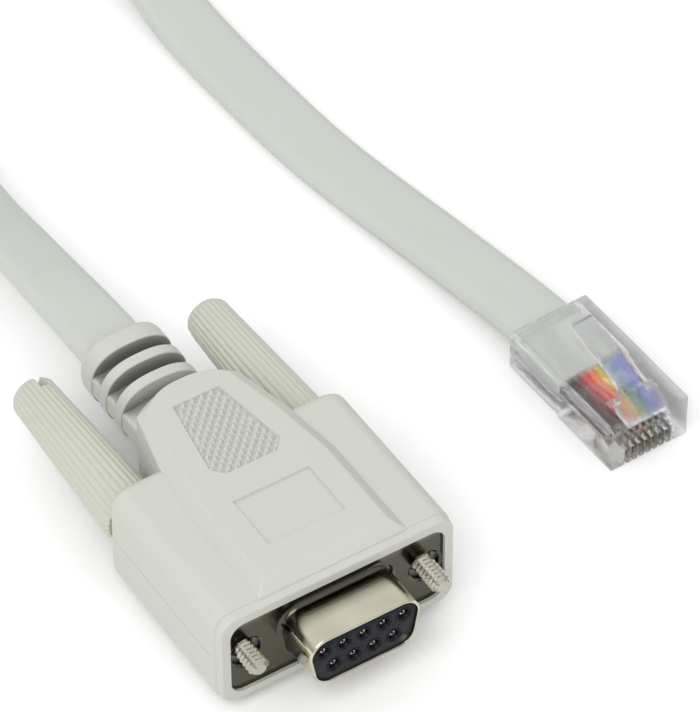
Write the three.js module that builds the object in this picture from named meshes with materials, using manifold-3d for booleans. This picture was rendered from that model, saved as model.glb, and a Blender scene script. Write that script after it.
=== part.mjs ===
import * as THREE from 'three';
import Module from 'manifold-3d';

// Driving sizes in millimetres. +X is right seen from the mating face, the face looks to -Y, +Z is up.
const gap = 0.3;
const hood = { side: 0.995, height: 14.6, corner: 2.3, rimProud: 0.5, lip: 1.45, depth: 25.7, edge: 1.6 };
const plateau = { rise: 1.4, halfWidth: 10.35, frontSetback: 1.1, bevel: 1.65, taperFrom: 9.0 };
const neck = { halfFront: 9.1, halfBack: 7.2, length: 10.2, corner: 1.4 };
const boot = {
  halfWidth: 5.8, halfHeight: 4.3, corner: 3.6, collar: 3.3, rib: 1.7, groove: 1.9,
  rootGroove: 4.1, depth: 1.25, web: 1.6,
};
const grip = {
  halfBack: 3.25, halfWide: 4.95, halfFront: 3.55, length: 12.8, taper: 1.6, endMargin: 4.0, depth: 0.45,
};
const plain = { halfWidth: 5.35, length: 8.1, frontMargin: 5.7, depth: 0.3 };
const flange = { endMargin: 2.91, height: 12.55, thick: 0.8, corner: 2.0, screwSpan: 24.99, screwHole: 4.2 };
const shroud = { width: 16.33, height: 7.9, length: 6.4, wall: 0.45, corner: 2.6, fillet: 0.8, lean: 10 };
const socket = { pitch: 2.77, rowGap: 2.84, bore: 2.1, mouth: 1.4, mouthDepth: 0.7 };
const contact = { outer: 1.5, inner: 1.0, length: 9.2, hollow: 6.2 };
const insulator = { setback: 0.35, corner: 2.0, behind: 4.0 };
const screw = { outer: 2.84, root: 2.2, pitch: 0.635, turns: 6, stickOut: 3.5, inKnob: 14.5 };
const knob = { nearRadius: 4.0, farRadius: 2.95, length: 24.2, ribs: 20, ribDepth: 0.3, slot: 1.1, slotDepth: 2.0 };
const ribbon = { width: 9.1, thick: 2.4 };
const coil = { x: 0, y: 160, inner: 35, outer: 56, base: 1.0, room: 0.3 };
const tie = { width: 5, thick: 0.6 };
const plug = { x: 49.6, y: 7.0, yaw: 1.9, width: 11.68, length: 21.46, height: 6.6, chamfer: 0.4, step: 0.5 };
const jacketRoom = { wall: 0.9, floor: 2.05, height: 3.1, depth: 10.2 };
const wireRoom = { halfWidth: 4.3, floor: 2.75, height: 1.35, noseWall: 2.4 };
const blade = { count: 8, pitch: 1.02, thick: 0.3, slot: 0.72, length: 3.85, high: 2.35, low: 0.35, slotLength: 4.6 };
const conductor = { diameter: 0.84, length: 8.1 };
const latch = {
  width: 3.2, shoulder: 6.0, root: 1.0, shoulderLength: 2.7, shoulderHeight: 1.7,
  length: 13.7, tailHeight: 4.8,
};

// Places along Y, from the front of the flange at 0, and the heights that follow from the sizes.
const rimFront = -hood.rimProud;
const boxBack = rimFront + hood.depth;
const neckEnd = boxBack + neck.length;
const ribPitch = boot.rib + boot.groove;
const bootEnd = neckEnd + boot.rootGroove + 2 * ribPitch + boot.collar;
const knobNear = boxBack + gap + 0.1;
const knobFar = knobNear + knob.length;
const shroudFront = -shroud.length;
const halfHeight = hood.height / 2;
const flangeWidth = flange.screwSpan + 2 * flange.endMargin;
const halfWidth = flangeWidth / 2 + hood.side;
const top = halfHeight + plateau.rise;
const axisZ = top;
const shiftY = -(shroudFront + bootEnd) / 2;

const wasm = await Module();
wasm.setup();
const group = new THREE.Group();

// A geometry as a solid, with equal points joined.
function solidOf(geometry) {
  const from = geometry.attributes.position;
  const seen = new Map();
  const position = [];
  const joined = [];
  for (let i = 0; i < from.count; i += 1) {
    const p = [from.getX(i), from.getY(i), from.getZ(i)];
    const key = p.map((v) => Math.round(v * 1e4)).join();
    if (!seen.has(key)) {
      seen.set(key, position.length / 3);
      position.push(...p);
    }
    joined.push(seen.get(key));
  }
  const corners = geometry.index ? [...geometry.index.array].map((k) => joined[k]) : joined;
  const index = [];
  for (let i = 0; i < corners.length; i += 3) {
    const [a, b, c] = corners.slice(i, i + 3);
    if (a !== b && b !== c && a !== c) index.push(a, b, c);
  }
  return new wasm.Manifold(new wasm.Mesh({
    numProp: 3, vertProperties: new Float32Array(position), triVerts: new Uint32Array(index),
  }));
}

function geometryOf(solid) {
  const mesh = solid.getMesh();
  const geometry = new THREE.BufferGeometry();
  geometry.setAttribute('position', new THREE.BufferAttribute(Float32Array.from(mesh.vertProperties), 3));
  geometry.setIndex([...mesh.triVerts]);
  geometry.computeVertexNormals();
  return geometry;
}

// A skin over rings of equal point count, closed by a flat face at each end.
function loft(rings) {
  const n = rings[0].length;
  const position = rings.flat(2);
  const index = [];
  for (let r = 0; r + 1 < rings.length; r += 1) {
    for (let i = 0; i < n; i += 1) {
      const a = r * n + i;
      const b = r * n + ((i + 1) % n);
      index.push(a, b, b + n, a, b + n, a + n);
    }
  }
  const point = (k) => new THREE.Vector3(...position.slice(k * 3, k * 3 + 3));
  [0, rings.length - 1].forEach((r) => {
    const ring = rings[r].map((p) => new THREE.Vector3(...p));
    const normal = new THREE.Vector3();
    for (let i = 1; i + 1 < n; i += 1) {
      normal.add(ring[i].clone().sub(ring[0]).cross(ring[i + 1].clone().sub(ring[0])));
    }
    const size = normal.toArray().map(Math.abs);
    const drop = size.indexOf(Math.max(...size));
    const flat = ring.map((p) => new THREE.Vector2(...p.toArray().filter((_, k) => k !== drop)));
    THREE.ShapeUtils.triangulateShape(flat, []).forEach(([a, b, c]) => {
      const turn = ring[b].clone().sub(ring[a]).cross(ring[c].clone().sub(ring[a])).dot(normal) > 0;
      const [p, q] = turn === (r > 0) ? [b, c] : [c, b];
      index.push(r * n + a, r * n + p, r * n + q);
    });
  });
  let volume = 0;
  for (let i = 0; i < index.length; i += 3) {
    volume += point(index[i]).dot(point(index[i + 1]).cross(point(index[i + 2])));
  }
  if (volume < 0) index.reverse();
  const geometry = new THREE.BufferGeometry();
  geometry.setAttribute('position', new THREE.Float32BufferAttribute(position, 3));
  geometry.setIndex(index);
  return solidOf(geometry);
}

const box = (x0, x1, y0, y1, z0, z1) => solidOf(
  new THREE.BoxGeometry(x1 - x0, y1 - y0, z1 - z0).translate((x0 + x1) / 2, (y0 + y1) / 2, (z0 + z1) / 2),
);

// A round bar along Y, from radius r0 at y0 to r1 at y1.
const bar = (r0, r1, y0, y1, sides, x = 0, z = 0) => solidOf(
  new THREE.CylinderGeometry(r1, r0, y1 - y0, sides).translate(x, (y0 + y1) / 2, -z),
);

// A profile of [radius, y] turned about the Y axis.
const turned = (profile, sides, x = 0, z = 0) => solidOf(
  new THREE.LatheGeometry(profile.map(([r, y]) => new THREE.Vector2(r, y)), sides).translate(x, 0, z),
);

function roundedRing(y, halfX, halfZ, radius, steps = 4) {
  const r = Math.min(radius, halfX - 0.05, halfZ - 0.05);
  return [[1, 1], [-1, 1], [-1, -1], [1, -1]].flatMap(([sx, sz], corner) => (
    Array.from({ length: steps + 1 }, (_, i) => {
      const a = (corner + i / steps) * (Math.PI / 2);
      return [sx * (halfX - r) + r * Math.cos(a), y, sz * (halfZ - r) + r * Math.sin(a)];
    })
  ));
}

// The D outline, wide side up, with its corners rounded.
const lean = shroud.lean * (Math.PI / 180);
function dRing(y, width, height, radius, steps = 4) {
  const h = height / 2;
  const low = width / 2 - height * Math.tan(lean);
  const r = Math.min(radius, h - 0.05);
  const inTop = width / 2 - r * (Math.tan(lean) + 1 / Math.cos(lean));
  const inLow = low + r * (Math.tan(lean) - 1 / Math.cos(lean));
  return [
    [inTop, h - r, -lean, Math.PI / 2], [-inTop, h - r, Math.PI / 2, Math.PI + lean],
    [-inLow, r - h, Math.PI + lean, Math.PI * 1.5], [inLow, r - h, Math.PI * 1.5, Math.PI * 2 - lean],
  ].flatMap(([cx, cz, from, to]) => Array.from({ length: steps + 1 }, (_, i) => {
    const a = from + ((to - from) * i) / steps;
    return [cx + r * Math.cos(a), y, cz + r * Math.sin(a)];
  }));
}

function add(name, solid, color, place, metalness = 0) {
  const geometry = geometryOf(solid).applyMatrix4(place);
  const mesh = new THREE.Mesh(geometry, new THREE.MeshStandardMaterial({ color, roughness: 0.5, metalness }));
  mesh.name = name;
  group.add(mesh);
}
const place = new THREE.Matrix4().makeTranslation(0, shiftY, axisZ);
const sides = [['left', -1], ['right', 1]];
const screwX = flange.screwSpan / 2;
const boreRadius = screw.outer / 2 + gap;

// Moulded hood: box, raised plateau on both broad sides, neck and ribbed boot in one piece.
const e = hood.edge;
let body = loft([
  roundedRing(rimFront, halfWidth - 0.35, halfHeight - 0.35, hood.corner),
  roundedRing(rimFront + 0.35, halfWidth, halfHeight, hood.corner),
  roundedRing(boxBack - e, halfWidth, halfHeight, hood.corner),
  roundedRing(boxBack - e * 0.3, halfWidth - e * 0.3, halfHeight - e * 0.3, hood.corner),
  roundedRing(boxBack, halfWidth - e, halfHeight - e, hood.corner),
]);
const plateauFront = rimFront + plateau.frontSetback;
const outline = [
  [plateau.halfWidth, plateauFront], [plateau.halfWidth, boxBack - plateau.taperFrom], [neck.halfFront, boxBack],
  [neck.halfBack, neckEnd - neck.corner], [neck.halfBack - neck.corner, neckEnd],
];
const raised = outline.map(([x, y], i) => [
  x - plateau.bevel * (i === 4 ? 0.7 : 1), y + (i === 0 ? plateau.bevel : i === 4 ? -0.3 : -0.6),
]);
const mirrored = (half, z) => [
  ...half.map(([x, y]) => [x, y, z]), ...[...half].reverse().map(([x, y]) => [-x, y, z]),
];
[1, -1].forEach((side) => {
  body = body.add(loft([
    mirrored(outline, side * (halfHeight - 1)), mirrored(outline, side * halfHeight), mirrored(raised, side * top),
  ]));
});
const stem = outline.slice(1).map(([x, y]) => [x - 0.02, y - 0.02]);
body = body.add(loft([mirrored(stem, -halfHeight - 0.01), mirrored(stem, halfHeight + 0.01)]));

// Strain relief: a core, a web along the parting plane, two ribs and the end collar.
const section = (y, less = 0) => roundedRing(y, boot.halfWidth - less, boot.halfHeight - less, boot.corner - less);
body = body.add(loft([section(neckEnd - 3, boot.depth), section(bootEnd - 1, boot.depth)]));
body = body.add(box(0.04 - boot.halfWidth, boot.halfWidth - 0.04, neckEnd - 3, bootEnd - 1, -boot.web, boot.web));
[0, 1].forEach((k) => {
  const y = bootEnd - boot.collar - boot.groove - k * ribPitch;
  body = body.add(loft([section(y - boot.rib), section(y)]));
});
body = body.add(loft([section(bootEnd - boot.collar), section(bootEnd - 0.9), section(bootEnd, 0.6)]));

// Pockets of the hood: mouth, flange seat, space behind the insulator, screw bores and knob clearance.
const halfMouth = [halfWidth - hood.lip, halfHeight - hood.lip];
body = body.subtract(loft([
  roundedRing(rimFront - 1, ...halfMouth, flange.corner), roundedRing(0.01 - gap, ...halfMouth, flange.corner),
]));
body = body.subtract(loft([-gap, flange.thick + gap].map((y) => (
  roundedRing(y, flangeWidth / 2 + gap, flange.height / 2 + gap, flange.corner + gap)
))));
const block = {
  width: shroud.width - 2 * (shroud.wall + gap), height: shroud.height - 2 * (shroud.wall + gap),
  front: shroudFront + insulator.setback, back: insulator.behind,
};
body = body.subtract(loft([
  dRing(flange.thick, block.width + 2 * gap, block.height + 2 * gap, insulator.corner + gap),
  dRing(block.back + gap, block.width + 2 * gap, block.height + 2 * gap, insulator.corner + gap),
]));
sides.forEach(([, side]) => {
  const x = side * screwX;
  body = body.subtract(bar(boreRadius, boreRadius, 0, boxBack + 1, 20, x));
  body = body.subtract(bar(knob.nearRadius + gap + 0.1, knob.farRadius + gap + 0.1, boxBack, knobFar, 32, x));
});

// Recessed grip panel and plain panel on the upper plateau.
const sunk = (half, depth) => loft([mirrored(half, top - depth), mirrored(half, top + 1)]);
const gripBack = neckEnd - grip.endMargin;
const gripFront = gripBack - grip.length;
body = body.subtract(sunk([
  [grip.halfFront, gripFront], [grip.halfWide, gripFront + grip.taper], [grip.halfBack, gripBack],
], grip.depth));
const plainFront = plateauFront + plain.frontMargin;
body = body.subtract(sunk([
  [plain.halfWidth, plainFront], [plain.halfWidth, plainFront + plain.length],
], plain.depth));
add('hood', body, 0xd6d5cd, place);

// Plated front shell: flange with two screw holes and the D shroud in one stamping.
let shell = loft([0, flange.thick].map((y) => roundedRing(y, flangeWidth / 2, flange.height / 2, flange.corner)));
const f = shroud.fillet;
shell = shell.add(loft([
  dRing(shroudFront, shroud.width - 0.5, shroud.height - 0.5, shroud.corner - 0.25),
  dRing(shroudFront + 0.25, shroud.width, shroud.height, shroud.corner),
  dRing(-f, shroud.width, shroud.height, shroud.corner),
  dRing(-f * 0.3, shroud.width + f * 0.6, shroud.height + f * 0.6, shroud.corner + f * 0.3),
  dRing(0.1, shroud.width + f * 2, shroud.height + f * 2, shroud.corner + f),
]));
shell = shell.subtract(loft([shroudFront - 1, flange.thick + 1].map((y) => (
  dRing(y, shroud.width - 2 * shroud.wall, shroud.height - 2 * shroud.wall, shroud.corner - shroud.wall)
))));
sides.forEach(([, side]) => {
  shell = shell.subtract(bar(flange.screwHole / 2, flange.screwHole / 2, -1, flange.thick + 1, 24, side * screwX));
});
add('front_shell', shell, 0xb9b6ae, place, 0.9);

// Black insulator with nine bores, five over four, and a socket contact in each.
const seats = [5, 4].flatMap((count, row) => Array.from({ length: count }, (_, i) => (
  [(i - (count - 1) / 2) * socket.pitch, (0.5 - row) * socket.rowGap]
)));
const shoulderY = block.front + socket.mouthDepth;
let black = loft([block.front, block.back].map((y) => dRing(y, block.width, block.height, insulator.corner)));
seats.forEach(([x, z]) => {
  black = black.subtract(bar(socket.mouth / 2, socket.mouth / 2, block.front - 1, shoulderY + 0.1, 12, x, -z));
  black = black.subtract(bar(socket.bore / 2, socket.bore / 2, shoulderY, block.back + 1, 12, x, -z));
});
add('insulator', black, 0x23262b, place);
const contactFront = shoulderY + gap;
seats.forEach(([x, z], i) => {
  const end = contactFront + contact.length;
  const floor = contactFront + contact.hollow;
  const wall = [[contact.inner, contactFront], [contact.outer, contactFront], [contact.outer, end], [0, end],
    [0, floor], [contact.inner, floor], [contact.inner, contactFront]];
  add(`socket_contact_${i + 1}`, turned(wall.map(([d, y]) => [d / 2, y]), 10, x, z), 0xc8a45c, place, 0.9);
});

// Two captive jackscrews with a rolled thread at the tip, each fixed in a ribbed tapered knob.
const tip = -screw.stickOut;
const thread = Array.from({ length: screw.turns }, (_, k) => tip + 0.35 + k * screw.pitch).flatMap((y) => [
  [screw.outer / 2, y + 0.25], [screw.root / 2 + 0.1, y + screw.pitch * 0.95],
]);
const screwEnd = knobNear + screw.inKnob;
const screwProfile = [
  [0, tip], [screw.root / 2 - 0.3, tip], [screw.root / 2, tip + 0.25], ...thread,
  [screw.outer / 2, tip + 0.6 + screw.turns * screw.pitch], [screw.outer / 2, screwEnd], [0, screwEnd],
];
const knobRing = (y, radius) => Array.from({ length: knob.ribs * 4 }, (_, i) => {
  const a = (i / (knob.ribs * 4)) * Math.PI * 2;
  const r = radius - knob.ribDepth * [0.3, 0, 0.3, 1][i % 4];
  return [r * Math.cos(a), y, r * Math.sin(a)];
});
const slotTurn = { left: 0.55, right: -0.35 };
sides.forEach(([name, side]) => {
  add(`jackscrew_${name}`, turned(screwProfile, 14, side * screwX), 0xc9c9cc, place, 0.9);
  let handle = loft([
    knobRing(knobNear, knob.nearRadius - 0.5), knobRing(knobNear + 0.8, knob.nearRadius),
    knobRing(knobFar - 0.5, knob.farRadius), knobRing(knobFar, knob.farRadius - 0.4),
  ]);
  handle = handle.subtract(bar(boreRadius, boreRadius, knobNear - 1, screwEnd + gap, 20));
  const slot = new THREE.BoxGeometry(knob.nearRadius * 3, 2 * knob.slotDepth, knob.slot);
  handle = handle.subtract(solidOf(slot.translate(0, knobFar, 0).rotateY(slotTurn[name])));
  add(`thumbscrew_knob_${name}`, handle, 0xcdceba, place.clone().multiply(
    new THREE.Matrix4().makeTranslation(side * screwX, 0, 0),
  ));
});

// Flat cord with rounded edges, swept along a route.
const plugYaw = plug.yaw * (Math.PI / 180);
const here = new THREE.Matrix4();
function cord(name, route, steps) {
  const r = ribbon.thick / 2;
  const flat = ribbon.width / 2 - r;
  const turns = [-90, -45, 0, 45, 90];
  const shape = new THREE.Shape([1, -1].flatMap((side) => turns.map((deg) => {
    const a = deg * (Math.PI / 180);
    return new THREE.Vector2(side * (flat + r * Math.cos(a)), side * r * Math.sin(a));
  })));
  const extrudePath = new THREE.CatmullRomCurve3(route.map((p) => new THREE.Vector3(...p)), false, 'centripetal');
  const swept = new THREE.ExtrudeGeometry(shape, { steps, bevelEnabled: false, extrudePath });
  add(name, solidOf(swept), 0xcdd2cb, here);
}
const exitY = bootEnd + shiftY;
cord('cable_hood_side', [
  [0, exitY + gap, axisZ], [0, exitY + 8, axisZ - 0.4], [0, 52, 6.9], [0, 63, 6.2], [0, 73, 6.7], [-0.2, 84, 8],
  [-1.2, 95, 9.9], [-2, coil.y - coil.outer - gap - 0.1, 10.5],
], 18);
const jacketZ = jacketRoom.floor + jacketRoom.height / 2;
cord('cable_plug_side', [
  [plug.x, plug.y + gap, jacketZ], [plug.x - 0.3, plug.y + 5, jacketZ - 0.3], [47.4, 28, 2.1], [44.1, 50, 1.35],
  [42.9, 66, 1.3], [42.4, 81, 1.4], [42.9, 94, 2.2], [44.3, 108, 3.4], [46.4, 121, 4.2],
], 24);

// The rest of the cord, wound on edge into a round coil, as one body.
const coilHeight = ribbon.width + coil.room;
const hoop = new THREE.LatheGeometry([
  [coil.inner, 0], [coil.outer, 0], [coil.outer, coilHeight], [coil.inner, coilHeight], [coil.inner, 0],
].map(([r, l]) => new THREE.Vector2(r, l)), 48);
add('cable_coil', solidOf(hoop.rotateX(Math.PI / 2).translate(coil.x, coil.y, coil.base)), 0xcdd2cb, here);

// Tie around the coil, standing clear of it on all sides.
const clear = gap + 0.2;
const span = [coil.y + coil.inner - clear, coil.y + coil.outer + clear];
const rise = [coil.base - gap, coil.base + coilHeight + gap];
let band = box(
  coil.x - tie.width / 2, coil.x + tie.width / 2, span[0] - tie.thick, span[1] + tie.thick,
  rise[0] - tie.thick, rise[1] + tie.thick,
);
band = band.subtract(box(coil.x - tie.width, coil.x + tie.width, ...span, ...rise));
add('coil_tie', band, 0xe9e9e4, here);

// Modular plug. In its own frame its back is at y = 0, its nose at y = -length and its lower side at z = 0.
const plugPlace = new THREE.Matrix4().makeRotationZ(plugYaw).setPosition(plug.x, plug.y, 0);
const across = (half, y, z0, z1) => [[-half, y, z0], [half, y, z0], [half, y, z1], [-half, y, z1]];
const w = plug.width / 2;
const nose = -plug.length;
const c = plug.chamfer;
const stepY = -jacketRoom.depth - 0.2;
let clearBody = loft([across(w, 0, plug.step, plug.height), across(w, stepY, plug.step, plug.height)]).add(loft([
  across(w, stepY + 0.05, 0, plug.height), across(w, nose + c, 0, plug.height),
  across(w - c, nose, c, plug.height - c),
]));
const room = w - jacketRoom.wall;
clearBody = clearBody.subtract(box(
  -room, room, -jacketRoom.depth, 1, jacketRoom.floor, jacketRoom.floor + jacketRoom.height,
));
const wireEnd = nose + wireRoom.noseWall;
clearBody = clearBody.subtract(box(
  -wireRoom.halfWidth, wireRoom.halfWidth, wireEnd, 0.5 - jacketRoom.depth,
  wireRoom.floor, wireRoom.floor + wireRoom.height,
));
const places = Array.from({ length: blade.count }, (_, i) => (i - (blade.count - 1) / 2) * blade.pitch);
places.forEach((x) => {
  const half = blade.slot / 2;
  clearBody = clearBody.subtract(box(x - half, x + half, nose - 1, nose + blade.slotLength, -1, blade.high + 0.25));
});
const latchFloor = plug.height - 1.4;
const latchBay = latch.shoulder / 2 + gap;
clearBody = clearBody.subtract(box(
  -latchBay, latchBay, nose - 1, nose + latch.root + latch.shoulderLength + gap, latchFloor, plug.height + 2,
));
add('plug_housing', clearBody, 0xe8eef0, plugPlace);

// Latch lever with its two shoulders, hinged at the nose.
const root = nose + latch.root - 0.5;
const low = latchFloor + gap;
const lift = 0.6;
const back = nose + latch.root + latch.shoulderLength;
const high = plug.height + latch.shoulderHeight;
const tail = plug.height + latch.tailHeight;
const lever = loft([
  across(latch.shoulder / 2, root, low, plug.height - 0.2),
  across(latch.shoulder / 2, back, low + lift, high),
]).add(loft([
  across(latch.width / 2, back - 0.6, low + 2 * lift, high - 0.2),
  across(latch.width / 2, back + 1.2, high - 0.3, high + 0.8),
  across(latch.width / 2, nose + latch.root + latch.length, tail - 1, tail),
]));
add('plug_latch', lever, 0xe8eef0, plugPlace);

// Eight blades in the nose slots and the eight conductors behind them.
const colours = [0x3c3c3e, 0x6e5555, 0xc85560, 0xf07864, 0xe1b950, 0x509678, 0x5f78c8, 0x8c7dbe];
places.forEach((x, i) => {
  const half = blade.thick / 2;
  const y = nose + 0.45;
  const metal = box(x - half, x + half, y, y + blade.length, blade.low, blade.high);
  add(`plug_contact_${i + 1}`, metal, 0xc9b98a, plugPlace, 0.9);
  const r = conductor.diameter / 2;
  const z = wireRoom.floor + wireRoom.height / 2;
  const start = wireEnd + gap;
  add(`conductor_${i + 1}`, bar(r, r, start, start + conductor.length, 8, x, -z), colours[i], plugPlace);
});
group.name = 'rj45_console_cable';
export default group;
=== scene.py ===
import math

import bmesh
import bpy
from mathutils import Matrix, Vector


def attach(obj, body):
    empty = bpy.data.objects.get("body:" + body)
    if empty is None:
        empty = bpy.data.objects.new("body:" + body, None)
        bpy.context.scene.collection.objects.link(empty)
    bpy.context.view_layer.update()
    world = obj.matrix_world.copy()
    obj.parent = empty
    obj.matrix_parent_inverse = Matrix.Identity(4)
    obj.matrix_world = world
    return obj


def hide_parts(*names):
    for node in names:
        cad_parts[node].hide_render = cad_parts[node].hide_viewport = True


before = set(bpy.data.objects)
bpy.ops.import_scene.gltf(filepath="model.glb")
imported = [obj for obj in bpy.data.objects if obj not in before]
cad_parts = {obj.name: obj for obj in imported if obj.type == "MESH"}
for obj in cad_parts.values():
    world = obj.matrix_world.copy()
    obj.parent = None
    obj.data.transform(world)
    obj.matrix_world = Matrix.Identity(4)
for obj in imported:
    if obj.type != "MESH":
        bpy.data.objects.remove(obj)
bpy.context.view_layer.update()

print("frame loaded:", len(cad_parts), "nodes")

# Pieces are made in millimetres and brought to metres when they are placed.
metre = Matrix.Scale(0.001, 4)
connectorPlace = Matrix.Translation((0, -0.0218, 0.0087)) @ metre
plugPlace = Matrix.Translation((0.0496, 0.007, 0)) @ Matrix.Rotation(math.radians(1.9), 4, "Z") @ metre


# Mesh helpers

def meshPiece(name, verts, faces):
    mesh = bpy.data.meshes.new(name)
    mesh.from_pydata([tuple(v) for v in verts], [], faces)
    mesh.validate()
    piece = bpy.data.objects.new(name, mesh)
    bpy.context.collection.objects.link(piece)
    return piece


def outward(piece):
    bm = bmesh.new()
    bm.from_mesh(piece.data)
    bmesh.ops.remove_doubles(bm, verts=bm.verts, dist=1e-5)
    bmesh.ops.recalc_face_normals(bm, faces=bm.faces)
    bm.to_mesh(piece.data)
    bm.free()
    return piece


def skin(name, rings, closed=False):
    count = len(rings[0])
    verts = [p for ring in rings for p in ring]
    rows = len(rings) if closed else len(rings) - 1
    faces = []
    for r in range(rows):
        for i in range(count):
            a, b = r * count + i, r * count + (i + 1) % count
            c = (r + 1) % len(rings) * count
            faces.append((a, b, c + (i + 1) % count, c + i))
    if not closed:
        faces.append(tuple(range(count)))
        faces.append(tuple(reversed(range((len(rings) - 1) * count, len(rings) * count))))
    return outward(meshPiece(name, verts, faces))


def block(name, x0, x1, y0, y1, z0, z1):
    return skin(name, [[(x0, y, z0), (x1, y, z0), (x1, y, z1), (x0, y, z1)] for y in (y0, y1)])


def turned(name, profile, sides, x=0.0, z=0.0, closed=False):
    rings = [[(x + r * math.cos(2 * math.pi * i / sides), y, z + r * math.sin(2 * math.pi * i / sides))
              for i in range(sides)] for r, y in profile]
    return skin(name, rings, closed)


def joined(name, pieces):
    bm = bmesh.new()
    for piece in pieces:
        bm.from_mesh(piece.data)
    mesh = bpy.data.meshes.new(name)
    bm.to_mesh(mesh)
    bm.free()
    for piece in pieces:
        bpy.data.objects.remove(piece)
    whole = bpy.data.objects.new(name, mesh)
    bpy.context.collection.objects.link(whole)
    return whole


def baked(piece):
    piece.data = bpy.data.meshes.new_from_object(
        piece.evaluated_get(bpy.context.evaluated_depsgraph_get()))
    piece.modifiers.clear()
    return piece


def combine(piece, tool, operation="DIFFERENCE", overlapping=False):
    step = piece.modifiers.new("combine", "BOOLEAN")
    step.operation = operation
    step.solver = "EXACT"
    step.use_self = overlapping
    step.object = tool
    baked(piece)
    bpy.data.objects.remove(tool)
    return piece


def edged(piece, width, segments=2, angle=30):
    step = piece.modifiers.new("edge", "BEVEL")
    step.width = width
    step.segments = segments
    step.limit_method = "ANGLE"
    step.angle_limit = math.radians(angle)
    step.use_clamp_overlap = True
    return baked(piece)


def shaded(piece, angle=35):
    piece.data.shade_smooth()
    piece.data.set_sharp_from_angle(angle=math.radians(angle))
    return piece


def placed(piece, place, material, body, nodes=()):
    piece.data.transform(place)
    piece.data.update()
    piece.data.materials.clear()
    piece.data.materials.append(material)
    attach(piece, body)
    if nodes:
        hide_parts(*nodes)
    return piece


def roundedRing(y, halfX, halfZ, radius, steps=10, x=0.0, z=0.0):
    r = min(radius, halfX - 0.01, halfZ - 0.01)
    ring = []
    for corner, (sx, sz) in enumerate(((1, 1), (-1, 1), (-1, -1), (1, -1))):
        for i in range(steps + 1):
            a = (corner + i / steps) * math.pi / 2
            ring.append((x + sx * (halfX - r) + r * math.cos(a), y, z + sz * (halfZ - r) + r * math.sin(a)))
    return ring


def smoothRoute(points, perSpan):
    rows = [Vector(p) for p in points]
    rows = [2 * rows[0] - rows[1]] + rows + [2 * rows[-1] - rows[-2]]
    out = []
    for i in range(1, len(rows) - 2):
        p = rows[i - 1:i + 3]
        t = [0.0]
        for k in range(3):
            t.append(t[-1] + math.sqrt((p[k + 1].xyz - p[k].xyz).length))

        def mix(a, b, ta, tb, s):
            return a * ((tb - s) / (tb - ta)) + b * ((s - ta) / (tb - ta))
        for k in range(perSpan):
            s = t[1] + (t[2] - t[1]) * k / perSpan
            a = [mix(p[j], p[j + 1], t[j], t[j + 1], s) for j in range(3)]
            b = [mix(a[j], a[j + 1], t[j], t[j + 2], s) for j in range(2)]
            out.append(mix(b[0], b[1], t[1], t[2], s))
    return out + [rows[-2]]


def sweep(name, route, section, rolls=None):
    points = [p.xyz for p in route]
    verts, faces, lengths = [], [], [0.0]
    for k, point in enumerate(points):
        if k:
            lengths.append(lengths[-1] + (point - points[k - 1]).length)
        ahead = (points[min(k + 1, len(points) - 1)] - points[max(k - 1, 0)]).normalized()
        side = ahead.cross(Vector((0, 0, 1))).normalized()
        up = side.cross(ahead)
        turn = math.radians(rolls[k]) if rolls else 0.0
        across = side * math.cos(turn) + up * math.sin(turn)
        over = up * math.cos(turn) - side * math.sin(turn)
        verts += [point + across * u + over * v for u, v in section]
    n = len(section)
    for k in range(len(points) - 1):
        for i in range(n):
            j = (i + 1) % n
            faces.append((k * n + i, k * n + j, (k + 1) * n + j, (k + 1) * n + i))
    faces.append(tuple(range(n)))
    faces.append(tuple(reversed(range((len(points) - 1) * n, len(points) * n))))
    piece = meshPiece(name, verts, faces)
    layer = piece.data.uv_layers.new(name="along")
    for face in piece.data.polygons:
        for loop in face.loop_indices:
            v = piece.data.loops[loop].vertex_index
            i = v % n
            if face.index < (len(points) - 1) * n and face.index % n == n - 1 and i == 0:
                i = n
            layer.data[loop].uv = (i / n, lengths[v // n] * 0.001)
    bm = bmesh.new()
    bm.from_mesh(piece.data)
    bmesh.ops.recalc_face_normals(bm, faces=bm.faces)
    bm.to_mesh(piece.data)
    bm.free()
    return piece, lengths[-1]


# Node helpers, for geometry and for materials

def tree(name, inputs):
    group = bpy.data.node_groups.new(name, "GeometryNodeTree")
    group.interface.new_socket("Geometry", in_out="INPUT", socket_type="NodeSocketGeometry")
    for label, kind in inputs:
        group.interface.new_socket(label, in_out="INPUT", socket_type="NodeSocket" + kind)
    group.interface.new_socket("Geometry", in_out="OUTPUT", socket_type="NodeSocketGeometry")
    return group, group.nodes.new("NodeGroupInput").outputs


def add(group, kind, links=None, **settings):
    node = group.nodes.new(kind)
    for key, value in settings.items():
        setattr(node, key, value)
    for key, value in (links or {}).items():
        socket = node.inputs[key]
        if isinstance(value, bpy.types.NodeSocket):
            group.links.new(value, socket)
        else:
            socket.default_value = value
    return node


def math2(group, operation, a, b=0.0):
    return add(group, "ShaderNodeMath", {0: a, 1: b}, operation=operation).outputs[0]


def parted(group, vector):
    return add(group, "ShaderNodeSeparateXYZ", {0: vector}).outputs


def vector3(group, x=0.0, y=0.0, z=0.0):
    return add(group, "ShaderNodeCombineXYZ", {"X": x, "Y": y, "Z": z}).outputs[0]


def ranged(group, value, fromMin=0.0, fromMax=1.0, toMin=0.0, toMax=1.0, kind="LINEAR"):
    return add(group, "ShaderNodeMapRange", {"Value": value, "From Min": fromMin, "From Max": fromMax,
                                             "To Min": toMin, "To Max": toMax},
               interpolation_type=kind).outputs[0]


def closeTree(group, geometry, material):
    real = add(group, "GeometryNodeRealizeInstances", {"Geometry": geometry})
    paint = add(group, "GeometryNodeSetMaterial", {"Geometry": real.outputs[0], "Material": material})
    add(group, "NodeGroupOutput", {0: paint.outputs[0]})


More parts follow.
